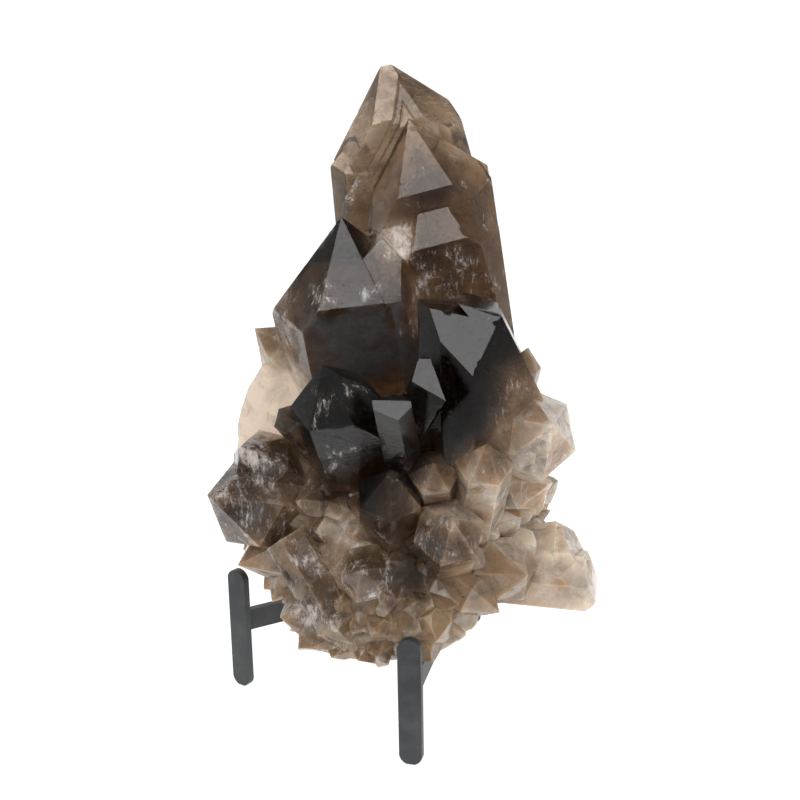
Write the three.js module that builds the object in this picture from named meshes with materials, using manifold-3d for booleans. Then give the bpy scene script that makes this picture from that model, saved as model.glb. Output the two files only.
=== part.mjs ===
// Smoky quartz cluster resting on a welded stand of flat black bars.
// Units are millimetres and degrees. +Z is up, the crystals face -Y, and the stand's feet are at the bottom.
import * as THREE from "three";
import { mergeVertices } from "three/addons/utils/BufferGeometryUtils.js";
import Module from "manifold-3d";

const wasm = await Module();
wasm.setup();
const { Manifold, Mesh } = wasm;

// Driving dimensions of the stand
const barWidth = 15;
const barThickness = 5;
const endRise = 6;
const footFlat = 5;
const legHeight = 87;
const rearPostHeight = 200;
const armBottom = 41;
const weldFillet = 3;
const touchGap = 0.3;
const leftLeg = { at: [-113, 7], turn: -38 };
const rightLeg = { at: [3, -102], turn: -16 };
const rearPost = { at: [50, 96], turn: -40 };

// Quartz habit: the angle between a crystal's long axis and the normal of one of its point faces
const pointFaceTilt = 51.8;
const sixFold = [0, 60, 120, 180, 240, 300];

const rad = THREE.MathUtils.degToRad;

// The turn from an upright crystal to where it points.
// clock is its lean in the picture plane, 0 up and 90 to the right. nod tips it towards -Y. turn spins it.
function growthTurn({ clock = 0, nod = 0, turn = 0 }) {
  const leaning = new THREE.Matrix4().makeRotationY(rad(clock));
  const nodding = new THREE.Matrix4().makeRotationX(rad(nod));
  const spinning = new THREE.Matrix4().makeRotationZ(rad(turn));
  return leaning.multiply(nodding).multiply(spinning);
}

// The spot where three planes meet, or null where two of them are parallel
function meetingPoint(a, b, c) {
  const bc = b.normal.clone().cross(c.normal);
  const volume = a.normal.dot(bc);
  if (Math.abs(volume) < 1e-6) return null;
  return bc
    .multiplyScalar(a.distance)
    .addScaledVector(c.normal.clone().cross(a.normal), b.distance)
    .addScaledVector(a.normal.clone().cross(b.normal), c.distance)
    .divideScalar(volume);
}

// Every corner of the solid that the planes enclose
function cornersOf(planes, sameSpot) {
  const corners = [];
  planes.forEach((a, i) =>
    planes.slice(i + 1).forEach((b, j) =>
      planes.slice(i + j + 2).forEach((c) => {
        const spot = meetingPoint(a, b, c);
        if (!spot) return;
        if (planes.some((p) => p.normal.dot(spot) > p.distance + sameSpot)) return;
        if (corners.some((known) => known.distanceTo(spot) < 3 * sameSpot)) return;
        corners.push(spot);
      }),
    ),
  );
  return corners;
}

// The closed solid that a list of planes cuts out, each plane an outward normal and its distance
function solidFromPlanes(planes) {
  const sameSpot = 1e-3;
  const corners = cornersOf(planes, sameSpot);
  const triangles = [];
  for (const plane of planes) {
    const onPlane = (spot) => Math.abs(plane.normal.dot(spot) - plane.distance) < 4 * sameSpot;
    const ring = corners.map((_, index) => index).filter((index) => onPlane(corners[index]));
    if (ring.length < 3) continue;
    const middle = new THREE.Vector3();
    ring.forEach((index) => middle.addScaledVector(corners[index], 1 / ring.length));
    const across = corners[ring[0]].clone().sub(middle).normalize();
    const up = plane.normal.clone().cross(across);
    const angleOf = (index) => {
      const arm = corners[index].clone().sub(middle);
      return Math.atan2(arm.dot(up), arm.dot(across));
    };
    ring.sort((a, b) => angleOf(a) - angleOf(b));
    for (let n = 1; n < ring.length - 1; n++) triangles.push(ring[0], ring[n], ring[n + 1]);
  }
  const vertProperties = new Float32Array(corners.flatMap((corner) => corner.toArray()));
  return new Manifold(
    new Mesh({ numProp: 3, vertProperties, triVerts: new Uint32Array(triangles) }),
  );
}

// One quartz crystal. tip is where its point faces would meet, and length runs down from there.
// sides are the distances from the axis to its six sides, counted from the front face to the right.
// caps move the six point faces outwards. cuts are flats broken off it: where, and which way they face.
function crystal({ tip, sides, length, caps = [], cuts = [], ...pose }) {
  const growth = growthTurn(pose);
  const top = new THREE.Vector3(...tip);
  const axis = new THREE.Vector3(0, 0, 1).applyMatrix4(growth);
  const planes = [{ normal: axis.clone().negate(), distance: length - axis.dot(top) }];
  sixFold.forEach((azimuth, face) => {
    const outward = new THREE.Vector3(Math.sin(rad(azimuth)), -Math.cos(rad(azimuth)), 0);
    outward.applyMatrix4(growth);
    planes.push({ normal: outward, distance: outward.dot(top) + sides[face] });
    const pointing = outward.clone().multiplyScalar(Math.sin(rad(pointFaceTilt)));
    pointing.addScaledVector(axis, Math.cos(rad(pointFaceTilt)));
    planes.push({ normal: pointing, distance: pointing.dot(top) + (caps[face] ?? 0) });
  });
  for (const { at, facing } of cuts) {
    const normal = new THREE.Vector3(...facing).normalize();
    planes.push({ normal, distance: normal.dot(new THREE.Vector3(...at)) });
  }
  return solidFromPlanes(planes);
}

// Six equal sides
const even = (distance) => Array(6).fill(distance);

// Where the cluster broke off its bed: a rough right side and a rough back, both nearly upright
const roughRight = { at: [62, 40, 345], facing: [1, 0, 0.14] };
const roughBack = { at: [0, 84, 200], facing: [0, 1, 0.1] };

// The tall stepped crystal at the top, its ledges and the crystals grown on its front
const upperGrowth = { clock: -15, nod: 9, turn: -4 };
const upperGroup = [
  { tip: [-7, 58, 427], sides: [29, 41, 26, -6, 46, 47], length: 190 },
  { tip: [-7, 58, 427], sides: [32, 36, 22, -8, 40, 39], length: 170, caps: [1, 0, 0, 0, 0, -9] },
  { tip: [-7, 58, 427], sides: [35, 34, 20, -10, 40, 40], length: 160, caps: [2, -4, 0, 0, 0, -12] },
  { tip: [9, 28, 388], sides: [31, 40, 32, 20, 30, 46], length: 130 },
  { tip: [18, 19, 356], sides: [31, 37, 28, 30, 30, 34], length: 150 },
  { tip: [-7, 16, 335], sides: [22, 30, 30, 30, 30, 32], length: 110 },
  { tip: [26, 58, 374], sides: [34, 32, 30, 10, 34, 30], length: 190 },
  { clock: -3, tip: [-24, 56, 376], sides: [18, 18, 18, 18, 19, 17], length: 120 },
].map((spec) => ({ ...upperGrowth, cuts: [roughRight, roughBack], ...spec }));

// The dark pair at the left: one with a flat point, one whose broad front meets it in a notch
const leftGrowth = { clock: -7, nod: 15, turn: -2 };
const leftFront = { at: [-19.5, -13.4, 260.2], facing: [-0.003, -0.965, -0.261] };
const leftGroup = [
  { ...leftGrowth, tip: [-35, 5, 330], sides: [36, 40, 40, 20, 51, 47], length: 170 },
  {
    clock: 2,
    nod: -23,
    turn: -5,
    tip: [-8, 17, 320],
    sides: [16.3, 19, 40, 40, 30, 30],
    caps: [40],
    cuts: [leftFront],
    length: 110,
  },
];

// The dark crystal at the right: a broad flat cut across its front edge, its top broken off in two steps
const rightGrowth = { clock: 0, nod: -9, turn: -29, tip: [44, -28, 335] };
const broadFlat = { at: [44.4, -75.3, 248.5], facing: [-0.13, -0.86, 0.5] };
const rightSlope = { at: [62, -59, 281], facing: [0.9, 0, 0.43] };
const rightGroup = [
  {
    ...rightGrowth,
    sides: [29.4, 28.8, 45, 16, 16, 32],
    cuts: [
      broadFlat,
      rightSlope,
      { at: [24, -60.4, 269], facing: [-0.83, -0.56, 0.08] },
      { at: [43, -57.4, 279.2], facing: [0.17, -0.05, 0.98] },
    ],
    length: 150,
  },
  {
    ...rightGrowth,
    sides: [29.4, 28.8, 45, 10, 10, 32],
    cuts: [
      broadFlat,
      rightSlope,
      { at: [43, -57.4, 279.2], facing: [-0.74, 0, -0.68] },
      { at: [62, -59.4, 280.7], facing: [0.2, -0.05, 0.98] },
    ],
    length: 150,
  },
];

// The two small dark crystals before it, each with a flat that lies the same way
const smallDarkGroup = [
  {
    clock: -3,
    nod: 12,
    turn: -29,
    tip: [24, -86, 300],
    sides: [13.8, 20, 12, 12, 12, 23],
    cuts: [
      { ...broadFlat, at: [27, -88, 237] },
      { at: [27, -88, 237], facing: [0.78, 0.61, -0.09] },
      { at: [12, -73.2, 258.5], facing: [0.05, 0, 1] },
      { at: [11.5, -73.2, 258.5], facing: [-0.92, -0.1, 0.36] },
    ],
    length: 110,
  },
  {
    clock: -8,
    nod: 25,
    turn: -29,
    tip: [-6, -98, 260],
    sides: [8.6, 8.4, 9, 10, 10, 14],
    cuts: [
      { ...broadFlat, at: [-1, -92, 227.5] },
      { at: [1.2, -87.3, 236.3], facing: [0, 0, 1] },
    ],
    length: 85,
  },
];

// The dark crystal in the middle
const middleGroup = [
  { clock: -12, nod: 25, turn: -7, tip: [-47, -65, 253], sides: [24, 39, 26, 30, 26, 24], length: 120 },
];

// Crystals round the foot: the left fan, the right fan and the front
const footGroup = [
  { clock: -35, nod: 40, turn: 10, tip: [-101, -50, 196], sides: even(20), length: 80 },
  { clock: -60, nod: 40, turn: 0, tip: [-122, -60, 168], sides: even(28), length: 90 },
  { clock: -100, nod: 30, turn: 0, tip: [-107, -45, 113], sides: even(20), length: 80 },
  { clock: -140, nod: 35, turn: 10, tip: [-86, -44, 86], sides: even(16), length: 75 },
  { clock: -8, nod: 25, turn: -50, tip: [2, -70, 236], sides: even(15), length: 80 },
  { clock: 12, nod: 28, turn: 0, tip: [30, -66, 232], sides: even(14), length: 80 },
  { clock: 35, nod: 58, turn: 10, tip: [93, -82, 217], sides: even(26), length: 110 },
  { clock: 70, nod: 45, turn: 0, tip: [95, -56, 170], sides: even(17), length: 80 },
  { clock: 5, nod: 35, turn: 0, tip: [52, -89, 209], sides: even(16), length: 90 },
  { clock: -5, nod: 50, turn: 0, tip: [19, -88, 197], sides: even(14), length: 70 },
  { clock: 5, nod: 50, turn: 20, tip: [30, -100, 165], sides: even(20), length: 90 },
  {
    clock: 78,
    nod: 15,
    turn: 0,
    tip: [132, -32, 112],
    sides: even(22),
    cuts: [{ at: [113, -32, 112], facing: [0.82, -0.2, 0.5] }],
    length: 110,
  },
  {
    clock: 92,
    nod: 12,
    turn: 20,
    tip: [144, -38, 91],
    sides: even(18),
    cuts: [
      { at: [126, -36, 86], facing: [0.93, -0.2, 0.3] },
      { at: [125, -36, 80], facing: [0.9, -0.1, -0.42] },
    ],
    length: 120,
  },
  { clock: 62, nod: 60, turn: 0, tip: [78, -76, 116], sides: even(21), length: 80 },
  { clock: 4, nod: 30, turn: 34, tip: [-6, -80, 190], sides: even(19), length: 80 },
  { clock: -10, nod: 60, turn: 0, tip: [-25, -98, 132], sides: even(17), length: 60 },
  { clock: 147, nod: 20, turn: 30, tip: [-33, -82, 73], sides: even(13), length: 80 },
  { clock: -50, nod: 5, turn: 0, tip: [-97, 44, 247], sides: even(15), length: 70 },
  { clock: -30, nod: 30, turn: 0, tip: [-76, -45, 219], sides: even(9), length: 50 },
  { clock: 12, nod: 6, turn: 10, tip: [80, -45, 256], sides: even(10), length: 80 },
  { clock: 115, nod: 30, turn: 0, tip: [61, -70, 88], sides: even(15), length: 70 },
];

// Crystals side by side up the hidden back, broken off on the side that they grew against
const backGroup = [
  { clock: -9, nod: -4, turn: 12, tip: [-40, 60, 312], sides: even(24), length: 170 },
  { clock: 6, nod: -6, turn: 40, tip: [6, 66, 292], sides: even(22), length: 150 },
  { clock: -24, nod: -8, turn: 5, tip: [-78, 56, 258], sides: even(20), length: 130 },
  { clock: 14, nod: -6, turn: 22, tip: [50, 60, 262], sides: even(23), length: 130 },
  { clock: -4, nod: -12, turn: 30, tip: [-28, 80, 232], sides: even(19), length: 110 },
  { clock: 22, nod: -14, turn: 0, tip: [72, 66, 206], sides: even(18), length: 100 },
  { clock: -38, nod: -16, turn: 25, tip: [-96, 66, 190], sides: even(18), length: 100 },
  { clock: 4, nod: -22, turn: 50, tip: [14, 90, 178], sides: even(18), length: 90 },
  { clock: -16, nod: -30, turn: 15, tip: [-56, 92, 158], sides: even(18), length: 90 },
  { clock: 100, nod: -30, turn: 10, tip: [92, 62, 128], sides: even(17), length: 90 },
  { clock: -100, nod: -26, turn: 0, tip: [-104, 54, 112], sides: even(17), length: 90 },
  { clock: -12, nod: -70, turn: 20, tip: [-18, 98, 112], sides: even(20), length: 80 },
  { clock: 160, nod: -14, turn: 20, tip: [66, 68, 66], sides: even(25), length: 120 },
  { clock: 28, nod: -8, turn: 10, tip: [88, 60, 198], sides: even(22), length: 110 },
  { clock: 75, nod: -34, turn: 30, tip: [106, 72, 150], sides: even(21), length: 90 },
].map((spec) => ({ cuts: [roughBack], ...spec }));

// A ball of the given half sizes with soft lumps on it
function lumpyBall({ centre, half, lean, detail, lumps }) {
  const ball = new THREE.IcosahedronGeometry(1, detail);
  ball.deleteAttribute("normal");
  ball.deleteAttribute("uv");
  const shell = mergeVertices(ball, 1e-4);
  const place = shell.getAttribute("position");
  const spot = new THREE.Vector3();
  const leaning = new THREE.Matrix4().makeRotationX(rad(-lean));
  for (let i = 0; i < place.count; i++) {
    spot.fromBufferAttribute(place, i);
    const wave =
      0.5 * Math.sin(5 * spot.x + 3 * spot.z) +
      0.4 * Math.sin(9 * spot.z - 4 * spot.y + 1) +
      0.3 * Math.sin(13 * spot.x + 7 * spot.y + 2);
    spot.multiplyScalar(1 + lumps * wave);
    spot.multiply(new THREE.Vector3(...half)).applyMatrix4(leaning);
    spot.add(new THREE.Vector3(...centre));
    place.setXYZ(i, spot.x, spot.y, spot.z);
  }
  return manifoldOf(shell);
}

// A closed three.js geometry as a solid
function manifoldOf(geometry) {
  const bare = geometry.clone();
  bare.deleteAttribute("normal");
  bare.deleteAttribute("uv");
  const merged = mergeVertices(bare, 1e-4);
  const vertProperties = new Float32Array(merged.getAttribute("position").array);
  const triVerts = new Uint32Array(merged.index.array);
  return new Manifold(new Mesh({ numProp: 3, vertProperties, triVerts }));
}

// A repeatable random number between low and high for each call
function seededRandom(seed) {
  let state = seed;
  return (low, high) => {
    state = (state * 1664525 + 1013904223) % 4294967296;
    return low + (high - low) * (state / 4294967296);
  };
}

// Small crystals standing out of a dome all round its front
function druse({ centre, half, rows, seed, girth, stand }) {
  const random = seededRandom(seed);
  const specs = [];
  for (const { height, from, to, count } of rows)
    for (let n = 0; n < count; n++) {
      const around = rad(from + ((to - from) * (n + random(0.2, 0.8))) / count);
      const up = height + random(-0.09, 0.09);
      const flat = Math.sqrt(1 - up * up);
      const out = new THREE.Vector3(flat * Math.sin(around), -flat * Math.cos(around), up);
      const foot = out.clone().multiply(new THREE.Vector3(...half));
      foot.add(new THREE.Vector3(...centre));
      out.x += random(-0.35, 0.35);
      out.z += random(-0.15, 0.5);
      out.y -= 0.2;
      out.normalize();
      const thick = random(girth[0], girth[1]);
      const tip = foot.addScaledVector(out, thick * random(stand[0], stand[1]));
      const clock = THREE.MathUtils.radToDeg(Math.atan2(out.x, out.z));
      const nod = THREE.MathUtils.radToDeg(Math.asin(-out.y));
      specs.push({
        clock,
        nod,
        turn: random(0, 60),
        tip: tip.toArray(),
        sides: sixFold.map(() => thick * random(0.75, 1.2)),
        caps: sixFold.map((_, face) => (face % 2 ? thick * random(0, 0.25) : 0)),
        length: thick * 3.4,
      });
    }
  return specs;
}

const dome = { centre: [-3, 4, 126], half: [92, 66, 74], lean: 0, detail: 3, lumps: 0.04 };
const plate = { centre: [-6, 44, 168], half: [104, 34, 108], lean: 10, detail: 6, lumps: 0.035 };
const crust = { centre: [-14, -30, 92], half: [62, 54, 60], lean: 0, detail: 4, lumps: 0.04 };
const heel = { centre: [50, 52, 146], half: [44, 38, 74], lean: 6, detail: 3, lumps: 0.05 };

const smallCrystals = [
  ...druse({
    ...dome,
    seed: 7,
    girth: [7, 13],
    stand: [0.7, 1.7],
    rows: [
      { height: -0.42, from: -100, to: 100, count: 14 },
      { height: -0.1, from: -105, to: 105, count: 19 },
      { height: 0.16, from: -105, to: 105, count: 18 },
      { height: 0.42, from: -105, to: 105, count: 15 },
      { height: 0.64, from: -100, to: 100, count: 12 },
    ],
  }),
  ...druse({
    ...crust,
    seed: 21,
    girth: [9, 15],
    stand: [0.55, 1.2],
    rows: [
      { height: -0.4, from: -100, to: 100, count: 13 },
      { height: -0.12, from: -80, to: 80, count: 9 },
      { height: 0.18, from: -70, to: 70, count: 7 },
      { height: 0.45, from: -60, to: 60, count: 5 },
    ],
  }),
];

// A flat bar standing on end with rounded ends and a short flat under its foot
function uprightBar({ at, turn }, height, grow = 0) {
  const half = barWidth / 2 + grow;
  const radius = (barWidth * barWidth) / 8 / endRise + endRise / 2;
  const reach = Math.asin(barWidth / 2 / radius);
  const flatReach = Math.asin(footFlat / 2 / radius);
  const drop = radius * (1 - Math.cos(flatReach));
  const outline = new THREE.Shape();
  const topCentre = height - radius;
  const footCentre = radius - drop;
  const quarter = Math.PI / 2;
  const round = radius + grow;
  outline.moveTo(half, topCentre + radius * Math.cos(reach));
  outline.absarc(0, topCentre, round, quarter - reach, quarter + reach, false);
  outline.lineTo(-half, footCentre - radius * Math.cos(reach));
  outline.absarc(0, footCentre, round, 3 * quarter - reach, 3 * quarter - flatReach, false);
  outline.absarc(0, footCentre, round, 3 * quarter + flatReach, 3 * quarter + reach, false);
  outline.closePath();
  const depth = barThickness + 2 * grow;
  const bar = new THREE.ExtrudeGeometry(outline, { depth, bevelEnabled: false, curveSegments: 6 });
  bar.translate(0, 0, -depth / 2).rotateX(Math.PI / 2);
  bar.rotateZ(rad(turn)).translate(at[0], at[1], 0);
  return manifoldOf(bar);
}

// A flat bar on edge between two uprights, flared near the first one where welds fill its corners
function armBar(from, to, grow = 0) {
  const start = new THREE.Vector2(...from.at);
  const run = new THREE.Vector2(...to.at).sub(start);
  const far = run.length();
  const low = armBottom - grow;
  const high = armBottom + barWidth + grow;
  const flare = weldFillet;
  const flareStart = 3.2;
  const outline = new THREE.Shape();
  outline.moveTo(0, low - flare);
  outline.absarc(flareStart + flare, low - flare, flare, Math.PI, Math.PI / 2, true);
  outline.lineTo(far, low);
  outline.lineTo(far, high);
  outline.absarc(flareStart + flare, high + flare, flare, 1.5 * Math.PI, Math.PI, true);
  outline.lineTo(0, high + flare);
  outline.closePath();
  const depth = barThickness + 2 * grow;
  const bar = new THREE.ExtrudeGeometry(outline, { depth, bevelEnabled: false, curveSegments: 4 });
  bar.translate(0, 0, -depth / 2).rotateX(Math.PI / 2);
  bar.rotateZ(run.angle()).translate(start.x, start.y, 0);
  return manifoldOf(bar);
}

// The stand's five bars, each arm's ends cut to the faces that it is welded to
function standBars() {
  const nearPost = uprightBar(rearPost, rearPostHeight, touchGap);
  const leftArm = armBar(leftLeg, rearPost)
    .subtract(uprightBar(leftLeg, legHeight, touchGap))
    .subtract(nearPost);
  const rightArm = armBar(rightLeg, rearPost)
    .subtract(uprightBar(rightLeg, legHeight, touchGap))
    .subtract(nearPost)
    .subtract(armBar(leftLeg, rearPost, touchGap));
  return {
    front_left_leg: uprightBar(leftLeg, legHeight),
    front_right_leg: uprightBar(rightLeg, legHeight),
    rear_post: uprightBar(rearPost, rearPostHeight),
    left_arm: leftArm,
    right_arm: rightArm,
  };
}

// The room that the stand takes up, with a thin gap all round it
function standRoom() {
  return [
    uprightBar(leftLeg, legHeight, touchGap),
    uprightBar(rightLeg, legHeight, touchGap),
    uprightBar(rearPost, rearPostHeight, touchGap),
    armBar(leftLeg, rearPost, touchGap),
    armBar(rightLeg, rearPost, touchGap),
  ];
}

// The rock that the crystals grow from, flat underneath where it rests on the arms
function matrixRock() {
  const rock = lumpyBall(plate).add(lumpyBall(dome)).add(lumpyBall(crust)).add(lumpyBall(heel));
  const slabDepth = 100;
  const slab = new THREE.BoxGeometry(400, 400, slabDepth);
  slab.translate(0, 0, armBottom + barWidth + touchGap - slabDepth / 2);
  return rock.subtract(manifoldOf(slab));
}

// The whole cluster in one solid, with the stand's bars let into it
function quartzCluster() {
  const grown = [
    ...upperGroup,
    ...leftGroup,
    ...rightGroup,
    ...smallDarkGroup,
    ...middleGroup,
    ...footGroup,
    ...backGroup,
    ...smallCrystals,
  ];
  let solid = matrixRock();
  for (const spec of grown) solid = solid.add(crystal(spec));
  for (const bar of standRoom()) solid = solid.subtract(bar);
  return solid;
}

// A solid as a named mesh
function meshOf(name, solid, finish) {
  const { vertProperties, triVerts } = solid.getMesh();
  const geometry = new THREE.BufferGeometry();
  geometry.setAttribute("position", new THREE.BufferAttribute(vertProperties, 3));
  geometry.setIndex(new THREE.BufferAttribute(triVerts, 1));
  geometry.computeVertexNormals();
  const mesh = new THREE.Mesh(geometry, finish.clone());
  mesh.name = name;
  return mesh;
}

const blackSteel = new THREE.MeshStandardMaterial({
  color: 0x2b2f31,
  roughness: 0.6,
  metalness: 0.3,
});
const smokyQuartz = new THREE.MeshStandardMaterial({
  color: 0x5a4737,
  roughness: 0.1,
  metalness: 0,
});

const part = new THREE.Group();
for (const [name, bar] of Object.entries(standBars())) part.add(meshOf(name, bar, blackSteel));
part.add(meshOf("quartz_cluster", quartzCluster(), smokyQuartz));

// The origin is under the middle of the whole, on the ground
const reach = new THREE.Box3().setFromObject(part);
const middle = reach.getCenter(new THREE.Vector3());
for (const mesh of part.children) mesh.geometry.translate(-middle.x, -middle.y, -reach.min.z);

export default part;
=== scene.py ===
"""Looks of a smoky quartz cluster on its black metal stand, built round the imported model.

Lengths in the dataclasses are millimetres in the cluster's growing frame, in which the stand's front left leg
stands at LEG_AT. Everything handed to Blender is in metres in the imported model's frame.
"""

import logging
import math
from dataclasses import dataclass, field
from enum import Enum

import bpy
import numpy as np
from mathutils import Matrix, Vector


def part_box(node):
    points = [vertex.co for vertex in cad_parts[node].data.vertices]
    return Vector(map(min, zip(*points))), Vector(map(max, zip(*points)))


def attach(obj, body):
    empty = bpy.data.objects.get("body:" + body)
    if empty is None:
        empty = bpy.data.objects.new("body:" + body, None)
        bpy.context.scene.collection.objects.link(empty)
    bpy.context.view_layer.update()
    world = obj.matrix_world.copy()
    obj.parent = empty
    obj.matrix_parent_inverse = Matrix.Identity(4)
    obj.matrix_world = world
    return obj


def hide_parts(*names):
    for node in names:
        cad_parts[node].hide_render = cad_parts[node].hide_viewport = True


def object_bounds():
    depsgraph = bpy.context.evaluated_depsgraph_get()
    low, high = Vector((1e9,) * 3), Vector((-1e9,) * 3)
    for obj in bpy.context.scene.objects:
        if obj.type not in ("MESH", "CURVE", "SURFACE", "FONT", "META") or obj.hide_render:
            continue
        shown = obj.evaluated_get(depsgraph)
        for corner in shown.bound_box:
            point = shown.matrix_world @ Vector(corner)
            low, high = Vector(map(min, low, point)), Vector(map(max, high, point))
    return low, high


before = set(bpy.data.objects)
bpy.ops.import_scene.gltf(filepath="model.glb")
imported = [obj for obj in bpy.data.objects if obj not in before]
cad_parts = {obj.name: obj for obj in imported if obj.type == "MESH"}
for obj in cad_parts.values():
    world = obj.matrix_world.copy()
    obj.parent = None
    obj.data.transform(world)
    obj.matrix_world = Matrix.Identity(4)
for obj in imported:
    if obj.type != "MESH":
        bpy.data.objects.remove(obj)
CAD_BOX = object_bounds()

log = logging.getLogger("quartz")
MM = 0.001
ROOT = "root"
LEG_AT = (-113.0, 7.0)
TINY = 1e-12

# Whole numbers that mix a place on a lattice and a seed into a chance number
HASH_FACTORS = (73856093, 19349663, 83492791)
SEED_FACTOR = 2654435761
MIX_FACTOR = 1274126177
HASH_TOP = 0xFFFFF


class Slot(Enum):
    """The record's material slots."""

    QUARTZ = "quartz"
    METAL = "black_metal"


class Node(Enum):
    """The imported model's nodes that pieces stand for."""

    CLUSTER = "quartz_cluster"
    LEFT_LEG = "front_left_leg"
    RIGHT_LEG = "front_right_leg"
    POST = "rear_post"
    LEFT_ARM = "left_arm"
    RIGHT_ARM = "right_arm"


def growing_shift() -> np.ndarray:
    """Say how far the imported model's origin lies from the growing frame's.

    Returns:
        The vector in millimetres to add to a packed place to get its place in the growing frame.
    """
    low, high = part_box(Node.LEFT_LEG.value)
    middle = (np.array(low) + np.array(high)) / 2 / MM
    return np.array([LEG_AT[0] - middle[0], LEG_AT[1] - middle[1], 0.0])


SHIFT = growing_shift()


def packed(place: np.ndarray | tuple[float, float, float]) -> np.ndarray:
    """Turn places of the growing frame, in millimetres, into packed places in metres."""
    return (np.asarray(place, float) - SHIFT) * MM


def turned(axis: int, degrees: float) -> np.ndarray:
    """Give the 3 x 3 turn about one axis.

    Args:
        axis: 0, 1 or 2 for X, Y or Z.
        degrees: the angle, by the right-hand rule.

    Returns:
        The matrix that turns a column vector.
    """
    c, s = math.cos(math.radians(degrees)), math.sin(math.radians(degrees))
    a, b = [n for n in range(3) if n != axis]
    turn = np.eye(3)
    turn[a, a] = turn[b, b] = c
    sign = -1 if axis == 1 else 1
    turn[b, a] = sign * s
    turn[a, b] = -sign * s
    return turn


def unit(vectors: np.ndarray) -> np.ndarray:
    """Scale each row to length 1."""
    return vectors / np.maximum(np.linalg.norm(vectors, axis=1, keepdims=True), TINY)


def cloud(places: np.ndarray, wavelength: float, seed: int) -> np.ndarray:
    """Make smooth value noise.

    Each corner of a cubic lattice gets a number mixed from its whole-number place and the seed. Between the
    corners the numbers are blended by smoothstep weights.

    Args:
        places: n x 3 places in millimetres.
        wavelength: the lattice's spacing in millimetres.
        seed: another seed gives another cloud.

    Returns:
        n numbers from -1 to 1.
    """
    lattice = places / wavelength
    cell = np.floor(lattice)
    part = lattice - cell
    smooth = part * part * (3 - 2 * part)
    cell = cell.astype(np.int64)
    total = np.zeros(len(places))
    for corner in np.ndindex(2, 2, 2):
        weight = np.prod(np.where(np.array(corner) == 1, smooth, 1 - smooth), axis=1)
        at = (cell + np.array(corner)) * np.array(HASH_FACTORS)
        mixed = np.bitwise_xor.reduce(at, axis=1) ^ seed * SEED_FACTOR
        mixed = (mixed ^ (mixed >> 13)) * MIX_FACTOR
        mixed = (mixed ^ (mixed >> 16)) & HASH_TOP
        total += weight * (mixed / (HASH_TOP // 2) - 1)
    return total


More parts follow.
